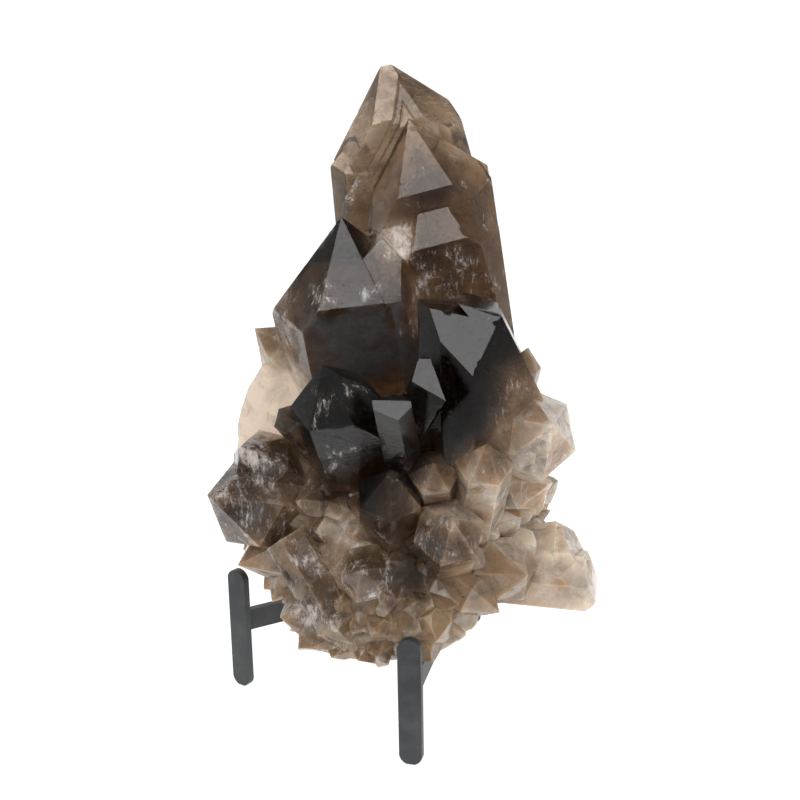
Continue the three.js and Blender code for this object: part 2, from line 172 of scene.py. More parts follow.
@dataclass
class Skin:
    """A closed triangle mesh as whole arrays.

    Attributes:
        places: n x 3 places in millimetres of the growing frame.
        corners: for each triangle, the numbers of its three places.
    """

    places: np.ndarray
    corners: np.ndarray

    @classmethod
    def of_node(cls, node: Node) -> "Skin":
        """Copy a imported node's triangles and merge the corners that lie on one spot.

        Args:
            node: which node.

        Returns:
            The merged skin.
        """
        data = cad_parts[node.value].data
        data.calc_loop_triangles()
        spots = np.zeros(len(data.vertices) * 3)
        data.vertices.foreach_get("co", spots)
        loops = np.zeros(len(data.loop_triangles) * 3, np.int32)
        data.loop_triangles.foreach_get("vertices", loops)
        spots = spots.reshape(-1, 3) / MM + SHIFT
        _, first, name = np.unique(np.round(spots, 3), axis=0, return_index=True, return_inverse=True)
        corners = name.reshape(-1)[loops].reshape(-1, 3)
        proper = (corners != np.roll(corners, 1, axis=1)).all(axis=1)
        return cls(spots[first], corners[proper])

    def spans(self) -> np.ndarray:
        """Give each triangle's normal, as long as twice its area."""
        a, b, c = (self.places[self.corners[:, n]] for n in range(3))
        return np.cross(b - a, c - a)

    def normals(self) -> np.ndarray:
        """Give each triangle's unit normal."""
        return unit(self.spans())

    def edges(self) -> tuple[np.ndarray, np.ndarray]:
        """Find the edges.

        Returns:
            The edges as sorted pairs of corners, and for each triangle the number of its three edges.
        """
        ends = np.stack([self.corners, np.roll(self.corners, -1, axis=1)], axis=2).reshape(-1, 2)
        pairs, which = np.unique(np.sort(ends, axis=1), axis=0, return_inverse=True)
        return pairs, which.reshape(-1, 3)

    def bends(self, normals: np.ndarray) -> tuple[np.ndarray, np.ndarray, np.ndarray]:
        """Measure how much the skin bends at each edge, from the normals of the two triangles there.

        Args:
            normals: a unit normal for each triangle.

        Returns:
            The edges, their two triangles, and the cosine of the bend.
        """
        pairs, which = self.edges()
        order = np.argsort(which.reshape(-1), kind="stable")
        owner = order // 3
        count = np.bincount(which.reshape(-1), minlength=len(pairs))
        start = np.concatenate([[0], np.cumsum(count)[:-1]])
        sides = np.stack([owner[start], owner[start + np.minimum(count - 1, 1)]], axis=1)
        return pairs, sides, np.einsum("ij,ij->i", normals[sides[:, 0]], normals[sides[:, 1]])

    def flats(self, normals: np.ndarray, flat: float = 0.99995) -> np.ndarray:
        """Name the flat faces: neighbouring triangles in one plane share a number.

        Args:
            normals: a unit normal for each triangle.
            flat: the least cosine between two triangles in one plane.

        Returns:
            A number for each triangle.
        """
        _, sides, bend = self.bends(normals)
        joined = sides[bend > flat]
        name = np.arange(len(self.corners))
        while True:
            least = np.minimum(name[joined[:, 0]], name[joined[:, 1]])
            new = name.copy()
            np.minimum.at(new, joined[:, 0], least)
            np.minimum.at(new, joined[:, 1], least)
            new = new[new]
            if (new == name).all():
                return np.unique(name, return_inverse=True)[1]
            name = new

    def refined(self, longest: float) -> tuple["Skin", np.ndarray]:
        """Halve edges until none is longer than the limit.

        A triangle with one, two or three halved edges is cut in two, three or four. Both triangles at an edge
        use the same middle, so the skin stays closed.

        Args:
            longest: the longest edge to leave, in millimetres.

        Returns:
            The finer skin, and for each new triangle the one that it came from.
        """
        places, corners = self.places, self.corners
        source = np.arange(len(corners))
        while True:
            pairs, which = Skin(places, corners).edges()
            long = np.linalg.norm(places[pairs[:, 0]] - places[pairs[:, 1]], axis=1) > longest
            if not long.any():
                return Skin(places, corners), source
            middle = np.full(len(pairs), -1)
            middle[long] = len(places) + np.arange(long.sum())
            places = np.concatenate([places, places[pairs[long]].mean(axis=1)])
            halved = middle[which]
            count = (halved >= 0).sum(axis=1)
            turn = np.where(count == 1, np.argmax(halved >= 0, axis=1), np.argmin(halved >= 0, axis=1))
            turn = np.where((count == 0) | (count == 3), 0, turn)
            spin = (np.arange(3)[None, :] + turn[:, None]) % 3
            a, b, c = np.take_along_axis(corners, spin, axis=1).T
            p, q, r = np.take_along_axis(halved, spin, axis=1).T
            cuts = {
                0: [(a, b, c)],
                1: [(a, p, c), (p, b, c)],
                2: [(a, b, q), (a, q, r), (r, q, c)],
                3: [(a, p, r), (p, b, q), (r, q, c), (p, q, r)],
            }
            parts, sources = [], []
            for number, pieces in cuts.items():
                chosen = count == number
                for piece in pieces:
                    parts.append(np.stack([corner[chosen] for corner in piece], axis=1))
                    sources.append(source[chosen])
            corners, source = np.concatenate(parts), np.concatenate(sources)

    def corner_normals(self) -> np.ndarray:
        """Average the triangles' normals at each corner, weighted by area.

        Returns:
            A unit normal for each corner.
        """
        across = self.spans()
        total = np.zeros_like(self.places)
        for n in range(3):
            np.add.at(total, self.corners[:, n], across)
        return unit(total)

    def relaxed(self, free: np.ndarray, rounds: int) -> np.ndarray:
        """Move the free corners towards the mean of their neighbours.

        Args:
            free: which corners may move.
            rounds: how many times.

        Returns:
            The new places.
        """
        pairs, _ = self.edges()
        count = np.bincount(pairs.reshape(-1), minlength=len(self.places))[:, None]
        places = self.places.copy()
        for _ in range(rounds):
            total = np.zeros_like(places)
            np.add.at(total, pairs[:, 0], places[pairs[:, 1]])
            np.add.at(total, pairs[:, 1], places[pairs[:, 0]])
            places[free] = (total / np.maximum(count, 1))[free]
        return places

    def into_object(self, name: str, sharp: np.ndarray | None = None) -> bpy.types.Object:
        """Make the Blender object, smooth apart from the sharp edges.

        Args:
            name: the object's name.
            sharp: sorted pairs of corners whose edges are sharp.

        Returns:
            The object, at the origin, linked to the scene.
        """
        data = bpy.data.meshes.new(name)
        data.vertices.add(len(self.places))
        data.vertices.foreach_set("co", packed(self.places).astype(np.float32).reshape(-1))
        data.loops.add(self.corners.size)
        data.loops.foreach_set("vertex_index", self.corners.astype(np.int32).reshape(-1))
        data.polygons.add(len(self.corners))
        data.polygons.foreach_set("loop_start", np.arange(0, self.corners.size, 3, dtype=np.int32))
        data.update(calc_edges=True)
        data.polygons.foreach_set("use_smooth", np.ones(len(self.corners), bool))
        if sharp is not None:
            ends = np.zeros(len(data.edges) * 2, np.int32)
            data.edges.foreach_get("vertices", ends)
            ends = np.sort(ends.reshape(-1, 2), axis=1).astype(np.int64)
            size = len(self.places)
            marked = np.isin(ends[:, 0] * size + ends[:, 1], sharp[:, 0] * size + sharp[:, 1])
            data.attributes.new("sharp_edge", "BOOLEAN", "EDGE").data.foreach_set("value", marked)
        data.validate()
        thing = bpy.data.objects.new(name, data)
        bpy.context.scene.collection.objects.link(thing)
        return thing


def paint(thing: bpy.types.Object, name: str, values: np.ndarray, domain: str = "POINT") -> None:
    """Store one number for each corner or triangle of an object as a named attribute."""
    layer = thing.data.attributes.new(name, "FLOAT", domain)
    layer.data.foreach_set("value", values.astype(np.float32))


class Value:
    """A shader socket that can be added, subtracted and multiplied, each adding a Math node."""

    def __init__(self, graph: "Graph", socket: bpy.types.NodeSocket) -> None:
        """Keep the socket and the graph that it is in."""
        self.graph = graph
        self.socket = socket

    def _math(self, operation: str, *inputs: "Value | float") -> "Value":
        """Add one Math node."""
        return self.graph.node("ShaderNodeMath", {"operation": operation}, dict(enumerate(inputs)))

    def __add__(self, other: "Value | float") -> "Value":
        """Add."""
        return self._math("ADD", self, other)

    __radd__ = __add__

    def __sub__(self, other: "Value | float") -> "Value":
        """Subtract."""
        return self._math("SUBTRACT", self, other)

    def __rsub__(self, other: "Value | float") -> "Value":
        """Subtract from."""
        return self._math("SUBTRACT", other, self)

    def __mul__(self, other: "Value | float") -> "Value":
        """Multiply."""
        return self._math("MULTIPLY", self, other)

    __rmul__ = __mul__

    def at_least(self, other: "Value | float") -> "Value":
        """Take the larger of the two."""
        return self._math("MAXIMUM", self, other)

    def clipped(self) -> "Value":
        """Keep between 0 and 1."""
        return self.graph.node("ShaderNodeClamp", {}, {"Value": self})

    def above(self, low: float, high: float) -> "Value":
        """Rise smoothly from 0 at low to 1 at high."""
        return self.graph.rise(self, {"From Min": low, "From Max": high})


def rgba(colour: Value | tuple) -> Value | tuple:
    """Give a plain colour its alpha, and leave a link as it is."""
    return colour if isinstance(colour, Value) else (*colour, 1.0)


class Graph:
    """The nodes of a material or of the world."""

    def __init__(self, owner: bpy.types.Material | bpy.types.World, follows: str = "Object") -> None:
        """Empty the owner's nodes.

        Args:
            owner: the material or the world.
            follows: which coordinates its patterns follow.
        """
        owner.use_nodes = True
        self.owner = owner
        self.tree = owner.node_tree
        self.tree.nodes.clear()
        self.place = self.node("ShaderNodeTexCoord", {}, {}, follows)

    def node(self, kind: str, settings: dict, inputs: dict, output: str | int = 0) -> Value:
        """Add any node.

        Args:
            kind: the node's type.
            settings: its own properties, set first. A ramp's stops are pairs of place and colour.
            inputs: values or links for its sockets, by name or number.
            output: which of its outputs is wanted.

        Returns:
            That output.
        """
        made = self.tree.nodes.new(kind)
        for key, value in settings.items():
            if key == "stops":
                self._stops(made.color_ramp, value)
            else:
                setattr(made, key, value)
        for key, value in inputs.items():
            socket = self._enabled(made, key)
            if isinstance(value, Value):
                self.tree.links.new(value.socket, socket)
            else:
                socket.default_value = value
        outputs = [o for o in made.outputs if o.enabled]
        chosen = outputs[output] if isinstance(output, int) else made.outputs[output]
        return Value(self, chosen)

    @staticmethod
    def _enabled(made: bpy.types.Node, key: str | int) -> bpy.types.NodeSocket:
        """Find an input of a node.

        Args:
            made: the node.
            key: the input's number, or its name among those in use.

        Returns:
            The input.
        """
        if isinstance(key, int):
            return made.inputs[key]
        return next(s for s in made.inputs if s.name == key and s.enabled)

    @staticmethod
    def _stops(ramp: bpy.types.ColorRamp, stops: tuple) -> None:
        """Give a ramp its stops.

        Args:
            ramp: a new ramp, which has two.
            stops: two or more pairs of place and colour.
        """
        while len(ramp.elements) < len(stops):
            ramp.elements.new(0.5)
        for element, (place, colour) in zip(ramp.elements, stops):
            element.position = place
            element.color = (*colour, 1)

    def vector(self, operation: str, inputs: dict, output: str | int = 0) -> Value:
        """Add a Vector Math node."""
        return self.node("ShaderNodeVectorMath", {"operation": operation}, inputs, output)

    def rise(self, share: Value, ends: dict) -> Value:
        """Run smoothly between ends that are given by the node's own names for them."""
        settings = {"interpolation_type": "SMOOTHSTEP"}
        return self.node("ShaderNodeMapRange", settings, {"Value": share, **ends})

    def principled(self, inputs: dict) -> Value:
        """Add a Principled shader."""
        return self.node("ShaderNodeBsdfPrincipled", {}, inputs)

    def blend(self, share: Value, first: Value, second: Value) -> Value:
        """Blend two shaders by a share from 0, the first, to 1, the second."""
        return self.node("ShaderNodeMixShader", {}, {0: share, 1: first, 2: second})

    def attribute(self, name: str) -> Value:
        """Read a named number of the mesh."""
        return self.node("ShaderNodeAttribute", {"attribute_name": name}, {}, "Fac")

    def noise(
        self,
        per_metre: float,
        detail: float = 3,
        rough: float = 0.5,
        twist: float = 0,
        stretch: tuple[float, float, float] = (1, 1, 1),
    ) -> Value:
        """Add fractal noise over the object's places.

        Args:
            per_metre: how many large lumps there are to the metre.
            detail: how many finer layers are added.
            rough: how strong each finer layer is beside the last.
            twist: how much the lumps are swirled.
            stretch: below 1, the lumps are drawn out along that axis.

        Returns:
            The noise, round 0.5.
        """
        place = self.vector("MULTIPLY", {0: self.place, 1: stretch})
        sockets = {"Vector": place, "Scale": per_metre, "Detail": detail, "Roughness": rough}
        return self.node("ShaderNodeTexNoise", {}, {**sockets, "Distortion": twist}, "Fac")

    def cells(self, per_metre: float) -> Value:
        """Cut the object's space into flat-sided cells, each with a number of its own from 0 to 1."""
        return self.node("ShaderNodeTexVoronoi", {}, {"Vector": self.place, "Scale": per_metre}, "Color")

    def ramp(self, share: Value, stops: tuple) -> Value:
        """Run through colours, each given with its place from 0 to 1."""
        return self.node("ShaderNodeValToRGB", {"stops": stops}, {0: share}, 0)

    def mixed(self, share: Value | float, low: Value | tuple, high: Value | tuple) -> Value:
        """Blend two colours by a share from 0 to 1."""
        sockets = {"Factor": share, "A": rgba(low), "B": rgba(high)}
        return self.node("ShaderNodeMix", {"data_type": "RGBA"}, sockets)

    def bump(self, height: Value, depth: float, under: Value | None = None) -> Value:
        """Turn a height from 0 to 1 into a bent normal.

        Args:
            height: the height.
            depth: how many metres a height of 1 stands.
            under: a bent normal to bend further.

        Returns:
            The normal.
        """
        sockets = {"Height": height, "Distance": depth, "Strength": 1.0}
        if under is not None:
            sockets["Normal"] = under
        return self.node("ShaderNodeBump", {}, sockets)

    def finish(self, surface: Value, volume: Value | None = None) -> bpy.types.Material | bpy.types.World:
        """Join the shaders to the output.

        Args:
            surface: the surface's shader, or the world's.
            volume: the shader of what is inside, if any.

        Returns:
            The finished owner.
        """
        kind = "World" if isinstance(self.owner, bpy.types.World) else "Material"
        out = self.tree.nodes.new("ShaderNodeOutput" + kind)
        self.tree.links.new(surface.socket, out.inputs["Surface"])
        if volume is not None:
            self.tree.links.new(volume.socket, out.inputs["Volume"])
        return self.owner


@dataclass(frozen=True)
class Zone:
    """How the quartz looks near one place.

    Attributes:
        at: the place, in millimetres of the growing frame.
        reach: how far it counts, in millimetres.
        milk: from 0, clear, to 1, milky.
        smoke: from 0, light brown, to 1, nearly black. A value past either end pulls the mean further.
        rust: from 0, clean, to 1, stained tan.
        flake: from 0, whole, to 1, full of glittering flakes. A value above 1 pulls the mean further.
    """

    at: tuple[float, float, float]
    reach: float
    milk: float = 0.0
    smoke: float = 0.0
    rust: float = 0.0
    flake: float = 0.0


ZONES = (
    Zone((-8, 38, 396), 26, milk=0.05, smoke=0.5, flake=0.3),
    Zone((30, 34, 388), 13, milk=0.3, smoke=0.4, rust=0.4, flake=0.3),
    Zone((-38, 55, 366), 11, milk=0.5, smoke=0.25, flake=0.3),
    Zone((-18, 38, 387), 9, milk=0.4, smoke=0.0),
    Zone((-27, 38, 371), 7, milk=0.45, smoke=0.1, flake=0.9),
    Zone((48, 30, 368), 10, milk=0.5, smoke=0.0, flake=0.5),
    Zone((-45, 40, 350), 35, milk=0.07, smoke=0.33, rust=0.1, flake=0.3),
    Zone((-38, 40, 315), 20, milk=0.08, smoke=0.3, rust=0.1, flake=0.4),
    Zone((55, 45, 340), 30, milk=0.06, smoke=0.38, flake=0.5),
    Zone((60, 40, 285), 30, milk=0.1, smoke=0.38, flake=0.6),
    Zone((18, 5, 325), 28, milk=0.04, smoke=0.52, flake=0.3),
    Zone((24, 3, 345), 9, milk=0.0, smoke=1.0, flake=0.1),
    Zone((28, 0, 282), 20, milk=0.22, smoke=0.4, flake=0.9),
    Zone((0, 5, 317), 10, milk=0.9, smoke=-0.5, flake=2.4),
    Zone((-40, -15, 300), 30, milk=0.0, smoke=0.8, flake=0.2),
    Zone((-46, -12, 285), 11, milk=0.15, smoke=0.6, flake=1.7),
    Zone((-18, -12, 285), 6, milk=0.15, smoke=0.6, flake=1.5),
    # Milky and nearly black, so slate grey: this zone paints the pale floor's reflection as the body's own
    # colour.
    Zone((-34, -14, 250), 28, milk=0.9, smoke=1.15, flake=0.0),
    Zone((-20, -50, 230), 30, milk=0.0, smoke=1.1, flake=0.1),
    Zone((-76, 20, 250), 26, milk=0.25, smoke=0.45, flake=0.7),
    Zone((-72, 22, 225), 14, milk=0.45, smoke=0.2, flake=0.7),
    Zone((-92, 50, 215), 26, milk=1.0, smoke=-0.35),
    Zone((58, -60, 265), 28, milk=0.0, smoke=0.88, flake=0.1),
    Zone((45, -80, 215), 26, milk=0.0, smoke=0.85, flake=0.2),
    Zone((74, -66, 232), 17, milk=0.45, smoke=0.25, flake=0.9),
    Zone((64, -72, 212), 15, milk=0.6, smoke=0.05, flake=0.8),
    Zone((90, -35, 240), 20, milk=0.6, smoke=0.0, flake=0.5),
    Zone((-50, -78, 230), 14, milk=0.05, smoke=0.8, flake=1.3),
    Zone((-24, -66, 236), 11, milk=0.1, smoke=0.8, flake=1.2),
    Zone((-92, 40, 241), 9, milk=0.15, smoke=0.7, flake=0.6),
    Zone((-40, -95, 200), 30, milk=0.0, smoke=1.0, flake=0.2),
    Zone((-40, -90, 165), 24, milk=0.0, smoke=0.9, flake=0.4),
    Zone((0, -92, 200), 24, milk=0.1, smoke=0.8, flake=0.5),
    Zone((-95, 45, 190), 42, milk=1.0, smoke=-0.35),
    Zone((98, -80, 200), 28, milk=0.65, smoke=0.1, flake=0.5),
    Zone((52, -92, 190), 18, milk=0.55, smoke=0.22, flake=0.5),
    Zone((22, -92, 172), 16, milk=0.6, smoke=0.28, flake=0.5),
    Zone((78, -80, 158), 28, milk=0.6, smoke=0.1, flake=0.5),
    Zone((125, -35, 108), 32, milk=0.6, smoke=0.12, rust=0.1, flake=0.2),
    Zone((78, -80, 112), 24, milk=0.45, smoke=0.35, flake=0.5),
    Zone((-115, -60, 165), 34, milk=0.3, smoke=0.68, flake=0.8),
    Zone((-98, -52, 190), 8, milk=0.3, smoke=0.5, flake=1.4),
    Zone((-95, -50, 110), 26, milk=0.45, smoke=0.34, rust=0.2, flake=0.5),
    Zone((-62, -75, 110), 24, milk=0.4, smoke=0.45, flake=0.8),
    Zone((-5, -100, 160), 20, milk=0.3, smoke=0.62, flake=0.5),
    Zone((35, -104, 150), 20, milk=0.3, smoke=0.54, flake=0.6),
    Zone((-46, -70, 138), 17, milk=0.65, smoke=0.12, flake=0.9),
    Zone((-22, -98, 138), 17, milk=0.3, smoke=0.6, flake=0.6),
    Zone((88, -72, 128), 17, milk=0.65, smoke=0.0, flake=0.2),
    Zone((4, -80, 118), 15, milk=0.15, smoke=0.75, flake=0.5),
    Zone((-20, -86, 122), 8, milk=0.3, smoke=0.4, flake=1.6),
    Zone((98, -42, 126), 15, milk=0.9, smoke=-0.35, flake=0.3),
    # The lower end of the crystal reaching right: milky and pale of its own, and its smoke below 0 lightens
    # it further as a painted glow of the light shining through it from behind.
    Zone((148, -36, 90), 26, milk=0.95, smoke=-0.7, flake=0.2),
    Zone((106, -52, 102), 13, milk=0.5, smoke=0.35, flake=0.8),
    Zone((50, -96, 164), 8, milk=0.4, smoke=0.3, flake=1.6),
    Zone((62, -84, 138), 7, milk=0.4, smoke=0.4, flake=1.5),
    Zone((102, -74, 212), 8, milk=0.5, smoke=0.2, flake=1.4),
    Zone((122, -44, 96), 7, milk=0.6, smoke=0.1, flake=1.3),
    Zone((-58, -70, 92), 8, milk=0.4, smoke=0.3, flake=1.5),
    Zone((-25, -80, 86), 26, milk=0.4, smoke=0.6, rust=0.4, flake=0.7),
    Zone((40, -75, 75), 28, milk=0.5, smoke=0.35, rust=0.4, flake=0.3),
    Zone((0, 85, 290), 45, milk=0.1, smoke=0.5, flake=0.3),
    Zone((0, 85, 200), 50, milk=0.3, smoke=0.45, flake=0.3),
    Zone((0, 85, 110), 55, milk=0.6, smoke=0.35, rust=0.2, flake=0.3),
    Zone((0, 0, 50), 60, milk=0.7, smoke=0.3, rust=0.5),
)


@dataclass(frozen=True)
class Growth:
    """Crystals that grew one way: where their point is, how they lean and how large they are.

    Attributes:
        tip: where their point faces would meet, in millimetres of the growing frame.
        clock: their lean in the picture plane in degrees, 0 up and 90 to the right.
        nod: their tip towards the front, in degrees.
        girth: how far their sides may lie from the axis through that point, in millimetres.
        length: how far down they reach, in millimetres.
        grooves: how strongly growth lines cross their sides.
    """

    tip: tuple[float, float, float]
    clock: float
    nod: float
    girth: float
    length: float
    grooves: float = 0.3

    def axis(self) -> np.ndarray:
        """Give the unit vector from its foot to its point."""
        return turned(1, self.clock) @ turned(0, self.nod) @ np.array([0.0, 0.0, 1.0])


GROWTHS = (
    Growth((0, 40, 427), -15, 9, 85, 260, grooves=1.0),
    Growth((-35, 5, 330), -7, 15, 62, 170),
    Growth((-8, 17, 320), 2, -23, 48, 120),
    Growth((44, -28, 335), 0, -9, 55, 150),
    Growth((-47, -65, 253), -12, 25, 46, 120),
    Growth((24, -86, 300), -3, 12, 26, 110),
    Growth((-6, -98, 260), -8, 25, 17, 85),
    Growth((-101, -50, 196), -35, 40, 24, 80),
    Growth((-122, -60, 168), -60, 40, 33, 90),
    Growth((-107, -45, 113), -100, 30, 24, 80),
    Growth((-86, -44, 86), -140, 35, 20, 75),
    Growth((2, -70, 236), -8, 25, 18, 80),
    Growth((30, -66, 232), 12, 28, 17, 80),
    Growth((93, -82, 217), 35, 58, 31, 110),
    Growth((52, -89, 209), 5, 35, 19, 90),
    Growth((19, -88, 197), -5, 50, 17, 70),
    Growth((30, -100, 165), 5, 50, 24, 90),
    Growth((-6, -80, 190), 4, 30, 23, 80),
    Growth((132, -32, 112), 78, 15, 26, 110),
    Growth((144, -38, 91), 92, 12, 22, 120),
    Growth((78, -76, 116), 62, 60, 25, 80),
    Growth((-33, -82, 73), 147, 20, 16, 80),
)


@dataclass(frozen=True)
class Ball:
    """A rounded body of rock that the crystals grow from, with soft lumps.

    Attributes:
        centre: its middle, in millimetres of the growing frame.
        half: its half sizes along X, Y and Z, in millimetres.
        lean: its tip towards the back, in degrees.
        lumps: the lumps' height, as a share of its size.
    """

    centre: tuple[float, float, float]
    half: tuple[float, float, float]
    lean: float = 0.0
    lumps: float = 0.04

    def off_surface(self, places: np.ndarray) -> tuple[np.ndarray, np.ndarray]:
        """Measure how far places lie off its surface.

        A place is scaled to the unit ball. There the surface's radius is 1 plus the lumps' three crossing
        waves.

        Args:
            places: n x 3 places in millimetres.

        Returns:
            The distance off the surface as a share of its radius, and the outward directions.
        """
        local = (places - np.array(self.centre)) @ turned(0, -self.lean) / np.array(self.half)
        radius = np.maximum(np.linalg.norm(local, axis=1), TINY)
        x, y, z = (local / radius[:, None]).T
        wave = 0.5 * np.sin(5 * x + 3 * z) + 0.4 * np.sin(9 * z - 4 * y + 1)
        wave += 0.3 * np.sin(13 * x + 7 * y + 2)
        outward = (local / np.array(self.half)) @ turned(0, -self.lean).T
        return radius / (1 + self.lumps * wave) - 1, unit(outward)


ROCK = (
    Ball((-6, 44, 168), (104, 34, 108), lean=10, lumps=0.035),
    Ball((-3, 4, 126), (92, 66, 74)),
    Ball((-14, -30, 92), (62, 54, 60)),
    Ball((50, 52, 146), (44, 38, 74), lean=6, lumps=0.05),
)


@dataclass(frozen=True)
class SmokyQuartz:
    """The finish of the quartz: clear glass that soaks up light with depth, milky in places.

    Attributes:
        index: its index of refraction.
        left_over: the colour that the absorption leaves.
        soak_per_metre: the absorption's density.
        glass_tints: the clear quartz's colours from 0, light, to 1, smoky, each with its place.
        milk_and_reflection_tints: the milky quartz's colours in the same way. The last, a slate grey, is a
        painted reflection of the pale floor on nearly black faces.
        rust_tint: the colour of the stains.
        flake_tint: the colour of the flakes.
        tilts: how strongly small flats in milky quartz are tilted.
        glow_weight: how much of the milky quartz's light passes under its skin.
        glow_radius: how far red, green and blue pass under the skin, beside each other.
        glow_scale: how far red passes, in metres.
    """

    index: float = 1.544
    left_over: tuple[float, float, float] = (0.34, 0.18, 0.0)
    soak_per_metre: float = 33.0
    glass_tints: tuple = (
        (0.0, (0.95, 0.88, 0.78)),
        (0.35, (0.69, 0.53, 0.38)),
        (0.7, (0.16, 0.1, 0.06)),
        (1.0, (0.02, 0.014, 0.01)),
    )
    milk_and_reflection_tints: tuple = (
        (0.0, (0.87, 0.74, 0.61)),
        (0.3, (0.49, 0.34, 0.22)),
        (0.65, (0.16, 0.095, 0.056)),
        # A slate grey, not brown: a painted reflection of the pale floor, for milky faces that are nearly
        # black.
        (1.0, (0.105, 0.1, 0.098)),
    )
    rust_tint: tuple[float, float, float] = (0.5, 0.34, 0.18)
    flake_tint: tuple[float, float, float] = (0.62, 0.56, 0.52)
    tilts: float = 0.35
    glow_weight: float = 0.85
    glow_radius: tuple[float, float, float] = (1.0, 0.8, 0.62)
    glow_scale: float = 0.014

    def material(self) -> bpy.types.Material:
        """Build the node material.

        Glass, the milky body and flakes are three shaders, blended by the painted values and noise. Glass and
        body take their colours from ramps, by the smoke value plus a mottle of three noises, the face's own
        tone and small cells. Where the quartz is nearly black the mottle is weaker and the cells are gone.
        Near the sharp edges the rim value lightens the body and makes it milkier: a painted glow of light
        shining through the thin edges.

        Returns:
            The material, which reads the mesh's milk, smoke, rust, flake, tone, rim, along and side values.
        """
        graph = Graph(bpy.data.materials.new("smoky_quartz"))
        milk, smoke, rust, flake = (graph.attribute(name) for name in ("milk", "smoke", "rust", "flake"))
        tone, rim, side = (graph.attribute(name) for name in ("tone", "rim", "side"))
        broad = graph.noise(28, 5, 0.55)
        wisps = graph.noise(75, 6, 0.65, 0.5)
        fine = graph.noise(420, 4, 0.6)
        pale = 1 - smoke.above(0.65, 1.0)
        normal = self.normal(graph, broad, fine, side, milk.above(0.1, 0.5) * pale)
        cells = (graph.cells(75) - 0.5) * pale
        mottle = (broad - 0.5) * 0.9 + (wisps - 0.5) * 0.7 + (fine - 0.5) * 0.4 + (tone - 0.5) * 0.5
        mottle = mottle * (pale * 0.6 + 0.4) + cells * 0.2
        glass = graph.principled(
            {
                "Base Color": graph.ramp(smoke + mottle * 0.7, self.glass_tints),
                "Roughness": wisps.above(0.42, 0.75) * 0.2 + fine.above(0.4, 0.8) * 0.12 + 0.03,
                "IOR": self.index,
                "Transmission Weight": 1.0,
                "Normal": normal,
            }
        )
        # The rim value lightens the body near the sharp edges: a painted glow of light shining through thin
        # edges.
        body = graph.ramp(smoke + mottle - rim.above(0.55, 1.0) * pale * 0.3, self.milk_and_reflection_tints)
        body = graph.mixed((rust * (wisps.above(0.35, 0.65) + 0.2)).clipped(), body, self.rust_tint)
        milky = graph.principled(
            {
                "Base Color": body,
                "Roughness": fine.above(0.3, 0.8) * 0.2 + 0.08,
                "IOR": self.index,
                "Subsurface Weight": self.glow_weight,
                "Subsurface Radius": self.glow_radius,
                "Subsurface Scale": self.glow_scale,
                "Normal": normal,
            }
        )
        flaky = graph.principled(
            {"Base Color": (*self.flake_tint, 1), "Roughness": 0.3, "IOR": self.index, "Normal": normal}
        )
        # rim * 0.1 makes the quartz milkier, so paler, near the sharp edges: part of the painted edge glow.
        share = milk + ((wisps - 0.5) * 1.2 + (tone + cells - 0.5) * 0.35 + rim * 0.1) * milk.above(0.02, 0.4)
        share = share + fine.above(0.5, 0.75) * wisps.above(0.42, 0.62) * 0.22
        surface = graph.blend(share.clipped(), glass, milky)
        surface = graph.blend(self.flecks(graph, flake), surface, flaky)
        absorbed = {"Color": (*self.left_over, 1), "Density": self.soak_per_metre}
        return graph.finish(surface, graph.node("ShaderNodeVolumeAbsorption", {}, absorbed))

    def normal(self, graph: Graph, broad: Value, fine: Value, side: Value, crisp: Value) -> Value:
        """Bend the normal: small tilted flats, then slow waves, a fine grain and growth lines as bumps.

        Args:
            graph: the material's nodes.
            broad: the slow waves' noise.
            fine: the grain's noise.
            side: how strong the growth lines are.
            crisp: how strong the small flats are.

        Returns:
            The normal.
        """
        sockets = {"W": graph.attribute("along"), "Scale": 0.5, "Detail": 4.0, "Roughness": 0.75}
        lines = graph.node("ShaderNodeTexNoise", {"noise_dimensions": "1D"}, sockets, "Fac")
        chance = graph.vector("SUBTRACT", {0: graph.cells(95), 1: (0.5, 0.5, 0.5)})
        tilt = graph.vector("SCALE", {0: chance, "Scale": crisp * self.tilts})
        straight = graph.node("ShaderNodeNewGeometry", {}, {}, "Normal")
        flat = graph.vector("NORMALIZE", {0: graph.vector("ADD", {0: straight, 1: tilt})})
        normal = graph.bump(broad, 0.0009, flat)
        normal = graph.bump(fine, 0.00009, normal)
        return graph.bump(lines * side, 0.0003, normal)

    def flecks(self, graph: Graph, flake: Value) -> Value:
        """Place bright flakes: streaks and specks within patches, more where the flake value is high.

        Args:
            graph: the material's nodes.
            flake: the flake value.

        Returns:
            The flakes' share.
        """
        patches = graph.noise(60, 3, 0.6, 0.5)
        streaks = graph.noise(260, 6, 0.8, 0.6, stretch=(1, 1, 0.3))
        specks = graph.noise(800, 4, 0.7, 1.0)
        amount = (flake - 0.5) * 0.3 + (patches - 0.5) * 0.6
        return (streaks + amount).above(0.58, 0.8) * 0.65 + (specks + amount).above(0.64, 0.8) * 0.35


